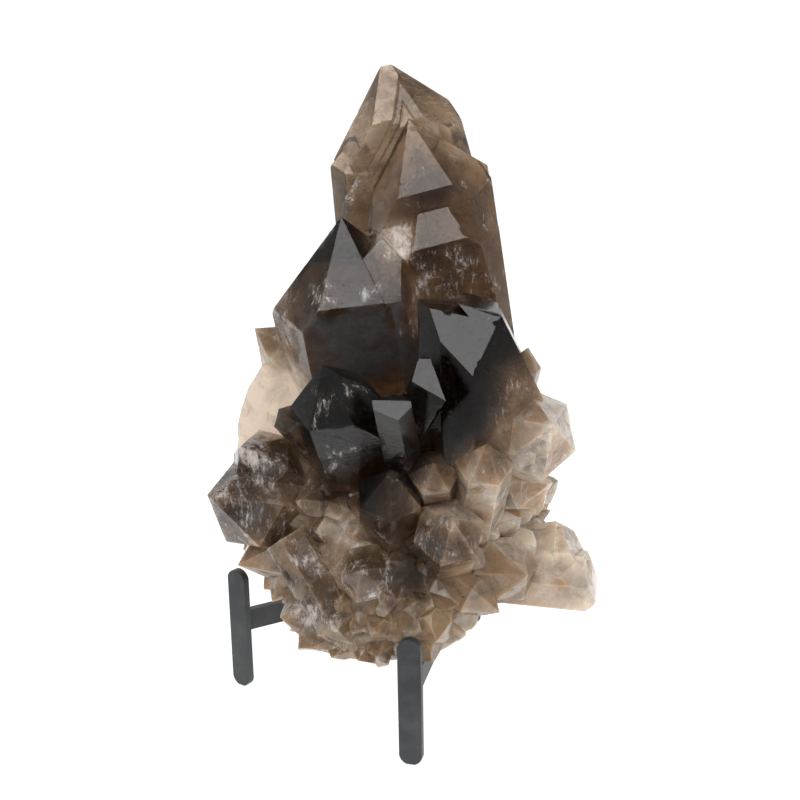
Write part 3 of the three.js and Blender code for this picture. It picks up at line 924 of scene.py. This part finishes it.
@dataclass
class Cluster:
    """The quartz: every crystal and the rock they grow from, in one skin.

    Attributes:
        longest: the longest edge of the finished mesh, in millimetres.
        sharp_cosine: an edge is sharp where the cosine of its bend is below this.
        rock_off: how far off a rock body its triangles may lie, as a share of its radius.
        rock_facing: the least cosine between a rock triangle and the way out of its body.
        rock_rounds: how many times the rock is smoothed.
        rock_waves: the rock's roughness, each with its wavelength and height in millimetres.
        chip: how deep the edges are worn, in millimetres.
        chip_waves: the wavelengths of the chips and of the nicks within them, in millimetres.
        edge_glow_rounds: over how many triangles the rim, a painted glow along the sharp edges, fades.
        edge_glow_fade: how much of the rim's painted edge glow is left at each step.
        square: a crystal's side is square to its axis within this cosine.
        drift: how far zones wander off their bell shape, in millimetres.
        drift_wave: the wavelength of that, in millimetres.
        tail: the weight that a zone keeps far away, where no bell reaches.
        finish: the quartz's finish.
    """

    longest: float = 4.5
    sharp_cosine: float = 0.97
    rock_off: float = 0.03
    rock_facing: float = 0.86
    rock_rounds: int = 8
    rock_waves: tuple[tuple[float, float], ...] = ((16.0, 1.3), (7.0, 0.7), (3.5, 0.35))
    chip: float = 1.0
    chip_waves: tuple[float, float] = (6.0, 2.5)
    edge_glow_rounds: int = 3
    edge_glow_fade: float = 0.9
    square: float = 0.05
    drift: float = 9.0
    drift_wave: float = 22.0
    tail: float = 1e-6
    finish: SmokyQuartz = field(default_factory=SmokyQuartz)

    def build(self) -> list[bpy.types.Object]:
        """Build and dress the cluster.

        Returns:
            Its pieces.
        """
        coarse = Skin.of_node(Node.CLUSTER)
        normals = coarse.normals()
        rocky = self.rock_faces(coarse, normals)
        fine, source = coarse.refined(self.longest)
        faces = normals[source]
        rocky = rocky[source]
        pairs, sides, bend = fine.bends(faces)
        sharp = pairs[(bend < self.sharp_cosine) & ~rocky[sides].all(axis=1)]
        fine.places = self.worn(fine, rocky, sharp)
        thing = fine.into_object("quartz_crystals", sharp)
        self.paint_zones(thing, fine)
        self.paint_growth(thing, fine, faces)
        self.paint_facets(thing, fine, coarse.flats(normals)[source], rocky, sharp)
        thing.data.materials.append(self.finish.material())
        dressed(thing, Node.CLUSTER)
        return [thing]

    def rock_faces(self, skin: Skin, normals: np.ndarray) -> np.ndarray:
        """Find the triangles of the rock: all three corners on a rock body, facing outwards from it.

        Args:
            skin: the coarse skin.
            normals: a unit normal for each triangle.

        Returns:
            Which triangles are rock.
        """
        middle = skin.places[skin.corners].mean(axis=1)
        found = np.zeros(len(skin.corners), bool)
        for ball in ROCK:
            off, _ = ball.off_surface(skin.places)
            near = (np.abs(off) < self.rock_off)[skin.corners].all(axis=1)
            _, outward = ball.off_surface(middle)
            found |= near & (np.einsum("ij,ij->i", outward, normals) > self.rock_facing)
        return found

    def worn(self, skin: Skin, rocky: np.ndarray, sharp: np.ndarray) -> np.ndarray:
        """Smooth and roughen the rock, and chip the crystals' edges.

        The rock moves outwards by a sum of clouds. A sharp edge moves inwards by a long cloud's upper part
        plus a little everywhere, times a short cloud.

        Args:
            skin: the fine skin.
            rocky: which triangles are rock.
            sharp: the sharp edges.

        Returns:
            The new places.
        """
        counts = np.zeros(len(skin.places))
        rocks = np.zeros(len(skin.places))
        for n in range(3):
            np.add.at(counts, skin.corners[:, n], 1)
            np.add.at(rocks, skin.corners[:, n], rocky)
        rock = rocks == counts
        places = skin.relaxed(rock, self.rock_rounds)
        outward = skin.corner_normals()
        for seed, (wavelength, height) in enumerate(self.rock_waves):
            places += (cloud(skin.places, wavelength, seed) * height * rock)[:, None] * outward
        edge = np.zeros(len(skin.places), bool)
        edge[sharp.reshape(-1)] = True
        long, short = self.chip_waves
        nick = np.maximum(cloud(skin.places, long, 11) - 0.1, 0) + 0.15
        nick *= 0.5 + 0.5 * cloud(skin.places, short, 12)
        return places - (self.chip * nick * edge)[:, None] * outward

    def paint_zones(self, thing: bpy.types.Object, skin: Skin) -> None:
        """Store the zones' values at each corner.

        Each is the zones' mean, weighted by a bell round each zone: the exponential of minus the square of
        the distance over its reach. A faint tail decides where no bell reaches.

        Args:
            thing: the object.
            skin: its skin.
        """
        drifts = [cloud(skin.places, self.drift_wave, seed) for seed in (31, 32, 33)]
        drift = np.stack(drifts, axis=1) * self.drift
        weights = []
        for zone in ZONES:
            away = np.linalg.norm(skin.places + drift - np.array(zone.at), axis=1) / zone.reach
            weights.append(np.exp(-(away**2)) + self.tail / (0.1 + away**4))
        weights = np.array(weights)
        for name in ("milk", "smoke", "rust", "flake"):
            values = np.array([getattr(zone, name) for zone in ZONES])
            paint(thing, name, values @ weights / weights.sum(axis=0))

    def paint_growth(self, thing: bpy.types.Object, skin: Skin, faces: np.ndarray) -> None:
        """Store how far each corner lies along its crystal, and which faces are crystal sides.

        A face is a crystal's side where it faces square to that crystal's axis and lies within its girth.

        Args:
            thing: the object.
            skin: its skin.
            faces: the unit normal that each triangle had before it was worn.
        """
        middle = skin.places[skin.corners].mean(axis=1)
        side = np.zeros(len(skin.corners))
        along = np.zeros(skin.corners.shape)
        for growth in GROWTHS:
            axis, tip = growth.axis(), np.array(growth.tip)
            deep = (middle - tip) @ axis
            off_axis = np.linalg.norm(middle - tip - deep[:, None] * axis, axis=1)
            near = (off_axis < growth.girth) & (deep < 0) & (deep > -growth.length)
            mine = (np.abs(faces @ axis) < self.square) & near & (side == 0)
            side[mine] = growth.grooves
            along[mine] = ((skin.places - tip) @ axis)[skin.corners[mine]]
        paint(thing, "side", side, "FACE")
        paint(thing, "along", along.reshape(-1), "CORNER")

    def paint_facets(
        self, thing: bpy.types.Object, skin: Skin, flats: np.ndarray, rocky: np.ndarray, sharp: np.ndarray
    ) -> None:
        """Store a chance tone for each flat face, and a rim that fades inwards from 1 at the sharp edges.

        Args:
            thing: the object.
            skin: its skin.
            flats: the number of each triangle's flat face.
            rocky: which triangles are rock.
            sharp: the sharp edges.
        """
        chance = np.random.default_rng(8).random(flats.max() + 1)
        paint(thing, "tone", np.where(rocky, 0.5, chance[flats]), "FACE")
        pairs, _ = skin.edges()
        # The rim lightens the quartz near the sharp edges: a painted glow of light shining through thin
        # edges.
        rim = np.zeros(len(skin.places))
        rim[sharp.reshape(-1)] = 1
        for _ in range(self.edge_glow_rounds):
            total, count = np.zeros_like(rim), np.zeros_like(rim)
            for near, far in ((0, 1), (1, 0)):
                np.add.at(total, pairs[:, near], rim[pairs[:, far]])
                np.add.at(count, pairs[:, near], 1)
            rim = np.maximum(rim * self.edge_glow_fade, total / count)
        paint(thing, "rim", rim)


@dataclass(frozen=True)
class Veil:
    """A healed crack: a thin sheet, gently curved. Nothing here holds it inside the quartz.

    Attributes:
        at: its middle, in millimetres of the growing frame.
        azimuth: the way it faces, from the front to the right, in degrees.
        elevation: how far it faces up, in degrees.
        spin: how far it is turned in its own plane, in degrees.
        half: its half width and half height, in millimetres.
        bulge: how far its middle stands out, in millimetres.
        thickness: half its thickness in the middle, in millimetres.
        rings: how many rings of corners it has.
        sectors: how many corners each ring has.
        least: the inmost ring's radius, as a share of the rim's.
        ripple: how far the sheet ripples, in millimetres.
        ripple_wave: the ripples' wavelength, in millimetres.
    """

    at: tuple[float, float, float]
    azimuth: float
    elevation: float
    spin: float
    half: tuple[float, float]
    bulge: float = 3.0
    thickness: float = 0.15
    rings: int = 10
    sectors: int = 30
    least: float = 0.04
    ripple: float = 2.0
    ripple_wave: float = 9.0

    def skin(self) -> tuple[np.ndarray, np.ndarray, np.ndarray]:
        """Make it a closed lens of rings round its middle, both faces meeting at the rim.

        The rim's radius is 1 plus two waves round it. The sheet rises to its bulge by 1 minus the square of
        the share of that radius, plus a cloud, and its half thickness falls evenly to nothing at the rim.

        Returns:
            Its places, its triangles and how far each place is from its rim, 0 there and 1 in the middle.
        """
        outwards = np.linspace(self.least, 1, self.rings)
        around = np.linspace(0, 2 * math.pi, self.sectors, endpoint=False)
        r, a = np.meshgrid(outwards, around, indexing="ij")
        away = r.reshape(-1)
        ragged = 1 + 0.25 * np.sin(3 * a + self.spin) + 0.15 * np.sin(7 * a + self.azimuth)
        wide, high = self.half
        flat = np.stack([wide * r * ragged * np.cos(a), high * r * ragged * np.sin(a)], axis=-1)
        flat = flat.reshape(-1, 2)
        ripples = self.ripple * cloud(np.column_stack([flat, away * 0]), self.ripple_wave, 51)
        lift = self.bulge * (1 - away**2) + ripples
        turn = turned(2, self.azimuth) @ turned(0, 90 - self.elevation) @ turned(2, self.spin)
        sheets = []
        for side in (1, -1):
            place = np.column_stack([flat, lift + side * self.thickness * (1 - away)])
            sheets.append(place @ turn.T + np.array(self.at))
        count = len(flat)
        places = np.concatenate(sheets)
        ring = np.arange(self.rings - 1)[:, None] * self.sectors
        step = np.arange(self.sectors)[None, :]
        one, two = (ring + step).reshape(-1), (ring + (step + 1) % self.sectors).reshape(-1)
        one_out, two_out = one + self.sectors, two + self.sectors
        hole = np.stack([step[0, 0].repeat(self.sectors - 2), step[0, 1:-1], step[0, 2:]], 1)
        upper = np.concatenate([np.stack([one, one_out, two], 1), np.stack([two, one_out, two_out], 1), hole])
        rim = np.arange((self.rings - 1) * self.sectors, self.rings * self.sectors)
        name = np.arange(2 * count)
        name[rim + count] = rim
        corners = np.concatenate([upper, name[upper[:, ::-1] + count]])
        return places, corners, np.concatenate([1 - away, 1 - away])


VEILS = (
    Veil((-45, -4, 284), 0, 15, 20, (15, 9)),
    Veil((-17, -5, 283), -10, 20, 60, (9, 6)),
    Veil((2, 14, 316), -20, 30, 30, (8, 5)),
    Veil((48, 34, 292), 60, 5, 10, (14, 38)),
    Veil((34, 22, 262), 20, 10, 50, (18, 12)),
    Veil((-28, 46, 345), -35, 20, 0, (10, 22)),
    Veil((22, 44, 372), 40, 35, 40, (16, 10)),
    Veil((-47, -60, 226), 0, 40, 30, (14, 12)),
    Veil((-38, -72, 196), 20, 15, 80, (12, 16)),
    Veil((60, -55, 222), 50, 0, 0, (10, 24)),
    Veil((48, -62, 250), -15, 20, 30, (12, 8)),
    Veil((-108, -52, 170), -20, 35, 20, (14, 10)),
    Veil((-100, -46, 150), 10, 10, 70, (12, 12)),
    Veil((90, -66, 200), 20, 30, 0, (12, 12)),
    Veil((106, -30, 104), 10, 40, 0, (20, 10)),
    Veil((-52, -62, 104), -10, 20, 130, (20, 6)),
    Veil((26, -84, 152), 10, 45, 0, (11, 9)),
    Veil((-24, -80, 128), -20, 30, 60, (9, 9)),
)


@dataclass
class Inclusions:
    """Every healed crack, as one piece.

    They are meant to lie inside the quartz. Ten stand out of it, the ninth almost wholly.

    Attributes:
        tint: the flecks' colour.
    """

    tint: tuple[float, float, float] = (0.6, 0.55, 0.52)

    def build(self) -> list[bpy.types.Object]:
        """Build and dress them.

        Returns:
            The one piece.
        """
        places, corners, fades, start = [], [], [], 0
        for veil in VEILS:
            more, triangles, fade = veil.skin()
            places.append(more)
            corners.append(triangles + start)
            fades.append(fade)
            start += len(more)
        skin = Skin(np.concatenate(places), np.concatenate(corners))
        used, skin.corners = np.unique(skin.corners, return_inverse=True)
        skin.corners = skin.corners.reshape(-1, 3)
        skin.places = skin.places[used]
        thing = skin.into_object("healed_cracks")
        paint(thing, "fade", np.concatenate(fades)[used])
        thing.data.materials.append(self.material())
        return [dressed(thing, Node.CLUSTER)]

    def material(self) -> bpy.types.Material:
        """Build the node material: silvery flecks that thin out towards the rim, clear between them.

        Returns:
            The material, which reads the mesh's fade attribute.
        """
        graph = Graph(bpy.data.materials.new("healed_crack"))
        flecks = graph.noise(480, 6, 0.8, 1.0)
        patches = graph.noise(60, 3, 0.6, 0.5)
        fade = graph.attribute("fade")
        share = (flecks + (patches - 0.5) * 0.8 + fade * 0.2).above(0.6, 0.84) * fade.above(0.0, 0.4)
        silver = graph.principled({"Base Color": (*self.tint, 1), "Roughness": 0.35, "IOR": 1.5})
        clear = graph.node("ShaderNodeBsdfTransparent", {}, {})
        return graph.finish(graph.blend(share * 0.6, clear, silver))


@dataclass(frozen=True)
class PowderCoat:
    """The stand's finish: satin black powder coat with a fine orange-peel grain.

    Attributes:
        colour: the coat's colour.
        worn_colour: its colour where it has been rubbed.
    """

    colour: tuple[float, float, float] = (0.028, 0.031, 0.034)
    worn_colour: tuple[float, float, float] = (0.05, 0.055, 0.058)

    def material(self) -> bpy.types.Material:
        """Build the node material.

        Returns:
            The material.
        """
        graph = Graph(bpy.data.materials.new("black_powder_coat"))
        patches = graph.noise(60, 4, 0.6)
        grain = graph.noise(1800, 2, 0.5)
        coat = graph.principled(
            {
                "Base Color": graph.mixed(patches.above(0.4, 0.7), self.colour, self.worn_colour),
                "Roughness": patches * 0.16 + 0.38,
                "IOR": 1.5,
                "Normal": graph.bump(grain, 0.00008),
            }
        )
        return graph.finish(coat)


@dataclass
class Stand:
    """The welded stand of five flat bars.

    Attributes:
        rounding: the radius of the bars' edges, in millimetres.
        least_bend: edges that bend less than this stay as they are, in degrees.
        finish: the bars' finish.
    """

    rounding: float = 0.6
    least_bend: float = 40.0
    finish: PowderCoat = field(default_factory=PowderCoat)

    def build(self) -> list[bpy.types.Object]:
        """Build and dress the bars.

        Returns:
            One piece for each bar.
        """
        coat = self.finish.material()
        names = {
            "left_leg_bar": Node.LEFT_LEG,
            "right_leg_bar": Node.RIGHT_LEG,
            "rear_post_bar": Node.POST,
            "left_arm_bar": Node.LEFT_ARM,
            "right_arm_bar": Node.RIGHT_ARM,
        }
        return [self.bar(name, node, coat) for name, node in names.items()]

    def bar(self, name: str, node: Node, coat: bpy.types.Material) -> bpy.types.Object:
        """Make one bar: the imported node's own shape with rounded edges.

        Args:
            name: the piece's name.
            node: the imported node.
            coat: its material.

        Returns:
            The piece.
        """
        thing = Skin.of_node(node).into_object(name)
        bevel = thing.modifiers.new("rounded_edges", "BEVEL")
        bevel.width = self.rounding * MM
        bevel.segments = 2
        bevel.limit_method = "ANGLE"
        bevel.angle_limit = math.radians(self.least_bend)
        bevel.harden_normals = True
        thing.data.materials.append(coat)
        return dressed(thing, node)


def dressed(thing: bpy.types.Object, node: Node) -> bpy.types.Object:
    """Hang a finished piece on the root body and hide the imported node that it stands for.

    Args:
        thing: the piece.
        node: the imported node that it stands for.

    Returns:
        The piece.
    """
    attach(thing, ROOT)
    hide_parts(node.value)
    return thing


@dataclass(frozen=True)
class Softbox:
    """A square lamp that lights the object from one direction.

    Attributes:
        name: its name.
        azimuth: its direction from the front, to the right, in degrees.
        elevation: its height above the horizon, in degrees.
        distance: how far it stands from the cluster's middle, in metres.
        side: the length of its side, in metres.
        radiance: how bright its face is, white paper in the studio being 1.
        mirrored: whether glossy and clear faces show it. A fill lamp only lights what is milky.
    """

    name: str
    azimuth: float
    elevation: float
    distance: float
    side: float
    radiance: float
    mirrored: bool = True

    def build(self, middle: np.ndarray) -> None:
        """Hang the lamp.

        Args:
            middle: the place that it faces, in metres.
        """
        a, e = math.radians(self.azimuth), math.radians(self.elevation)
        toward = np.array([math.sin(a) * math.cos(e), -math.cos(a) * math.cos(e), math.sin(e)])
        data = bpy.data.lights.new(self.name, "AREA")
        data.shape = "SQUARE"
        data.size = self.side
        data.energy = self.radiance * math.pi * self.side**2
        lamp = bpy.data.objects.new(self.name, data)
        lamp.visible_glossy = lamp.visible_transmission = self.mirrored
        lamp.location = middle + toward * self.distance
        lamp.rotation_euler = (math.pi / 2 - e, 0, a)
        bpy.context.scene.collection.objects.link(lamp)


@dataclass(frozen=True)
class Studio:
    """A pale floor, a white backdrop that fades into a dim room, a soft box and two fill lamps.

    The camera sees the floor and the room evenly pale. Mirrors show the floor dimmer away from the object and
    the room dim away from the backdrop, so that dark faces stay dark.

    Attributes:
        floor_side: the floor's side, in metres.
        floor_colour: the floor's colour.
        floor_glow: how much light the floor gives off, so that it stays even.
        light: how bright the backdrop is.
        dark_side: how bright the rest of the room is.
        lit_within: how far round the backdrop's middle it is fully bright, in degrees.
        dark_beyond: from where on the room is dim, in degrees.
        backdrop_tilt: how far below the horizon the backdrop's middle is, in degrees.
        near_floor: how far in front mirrors show the floor bright, and from where dim, in metres.
        behind: how much further it is bright behind the object, from 0, no more, to 1, without end.
        far_floor: how bright mirrors show the rest of the floor.
        bounces: how often light may bounce off glossy faces.
        boxes: the lamps.
    """

    floor_side: float = 40.0
    floor_colour: tuple[float, float, float] = (0.5, 0.5, 0.5)
    floor_glow: float = 0.85
    light: float = 1.1
    dark_side: float = 0.3
    lit_within: float = 42.0
    dark_beyond: float = 66.0
    backdrop_tilt: float = 10.0
    near_floor: tuple[float, float] = (0.27, 0.42)
    behind: float = 0.8
    far_floor: float = 0.3
    bounces: int = 10
    boxes: tuple[Softbox, ...] = (
        Softbox("key_box", -22, 42, 1.6, 0.95, 2.8),
        Softbox("top_fill", 0, 78, 1.8, 1.6, 1.2, mirrored=False),
        Softbox("front_fill", 35, 20, 2.0, 1.5, 1.3, mirrored=False),
    )

    def build(self) -> None:
        """Set up floor, light and camera surroundings."""
        self.floor()
        self.world()
        low, high = (np.array(corner) for corner in CAD_BOX)
        for box in self.boxes:
            box.build((low + high) / 2)
        bpy.context.scene.view_settings.view_transform = "Standard"
        bpy.context.scene.cycles.glossy_bounces = self.bounces

    def floor(self) -> None:
        """Lay the floor: pale to the camera, and in mirrors dimmer away from the object.

        It dims by the distance from the object's middle, less a share of how far back the place lies.
        """
        half = self.floor_side / 2
        around = [(-half, -half, 0), (half, -half, 0), (half, half, 0), (-half, half, 0)]
        data = bpy.data.meshes.new("floor")
        data.from_pydata(around, [], [(0, 1, 2, 3)])
        sheet = bpy.data.objects.new("floor", data)
        bpy.context.scene.collection.objects.link(sheet)
        graph = Graph(bpy.data.materials.new("floor_paper"))
        away = graph.vector("LENGTH", {0: graph.place}, "Value")
        away = away - graph.vector("DOT_PRODUCT", {0: graph.place, 1: (0, self.behind, 0)}, "Value")
        mirrored = graph.node("ShaderNodeLightPath", {}, {}, "Is Glossy Ray")
        dim = away.above(*self.near_floor) * mirrored
        dim_colour = tuple(part * self.far_floor for part in self.floor_colour)
        paper = graph.principled(
            {
                "Base Color": graph.mixed(dim, self.floor_colour, dim_colour),
                "Roughness": 0.9,
                "Specular IOR Level": 0.0,
                "Emission Color": graph.mixed(dim, (1.0,) * 3, (self.far_floor,) * 3),
                "Emission Strength": self.floor_glow,
            }
        )
        data.materials.append(graph.finish(paper))

    def world(self) -> None:
        """Light the room: a white backdrop behind the object, dim elsewhere, and white to the camera.

        The light follows the cosine of the angle off the backdrop's middle.
        """
        world = bpy.data.worlds.new("studio")
        bpy.context.scene.world = world
        graph = Graph(world, "Generated")
        tilt = math.radians(self.backdrop_tilt)
        toward = (0, math.cos(tilt), -math.sin(tilt))
        ends = {
            "From Min": math.cos(math.radians(self.dark_beyond)),
            "From Max": math.cos(math.radians(self.lit_within)),
            "To Min": self.dark_side,
            "To Max": self.light,
        }
        level = graph.rise(graph.vector("DOT_PRODUCT", {0: graph.place, 1: toward}, "Value"), ends)
        seen = graph.node("ShaderNodeLightPath", {}, {}, "Is Camera Ray")
        white = {"Color": (1, 1, 1, 1), "Strength": seen.at_least(level)}
        graph.finish(graph.node("ShaderNodeBackground", {}, white))


@dataclass(frozen=True)
class Viewpoint:
    """Where the picture is taken from.

    Attributes:
        eye: the camera's place, in millimetres of the growing frame.
        pitch: how far it looks down, in degrees.
        roll: how far it leans to the right, in degrees.
        focal_pixels: its focal length, in pixels of the picture.
        picture_width: the picture's width, in pixels.
        sensor: the width of the sensor, in millimetres.
    """

    eye: tuple[float, float, float] = (0.0, -980.0, 527.0)
    pitch: float = 18.0
    roll: float = -1.1
    focal_pixels: float = 1574.0
    picture_width: float = 800.0
    sensor: float = 36.0

    def build(self) -> None:
        """Make the camera and set it as the scene's."""
        data = bpy.data.cameras.new("camera")
        data.sensor_width = self.sensor
        data.lens = self.sensor * self.focal_pixels / self.picture_width
        data.clip_end = 100.0
        camera = bpy.data.objects.new("camera", data)
        placing = np.eye(4)
        placing[:3, :3] = turned(0, 90 - self.pitch) @ turned(2, self.roll)
        placing[:3, 3] = packed(self.eye)
        camera.matrix_world = Matrix(placing.tolist())
        bpy.context.scene.collection.objects.link(camera)
        bpy.context.scene.camera = camera


def main() -> None:
    """Build the camera, the studio and every piece, and report them."""
    logging.basicConfig(level=logging.INFO, format="%(name)s: %(message)s")
    Viewpoint().build()
    Studio().build()
    for maker in (Cluster(), Inclusions(), Stand()):
        for piece in maker.build():
            log.info("%s: %d faces", piece.name, len(piece.data.polygons))


if __name__ == "__main__":
    main()
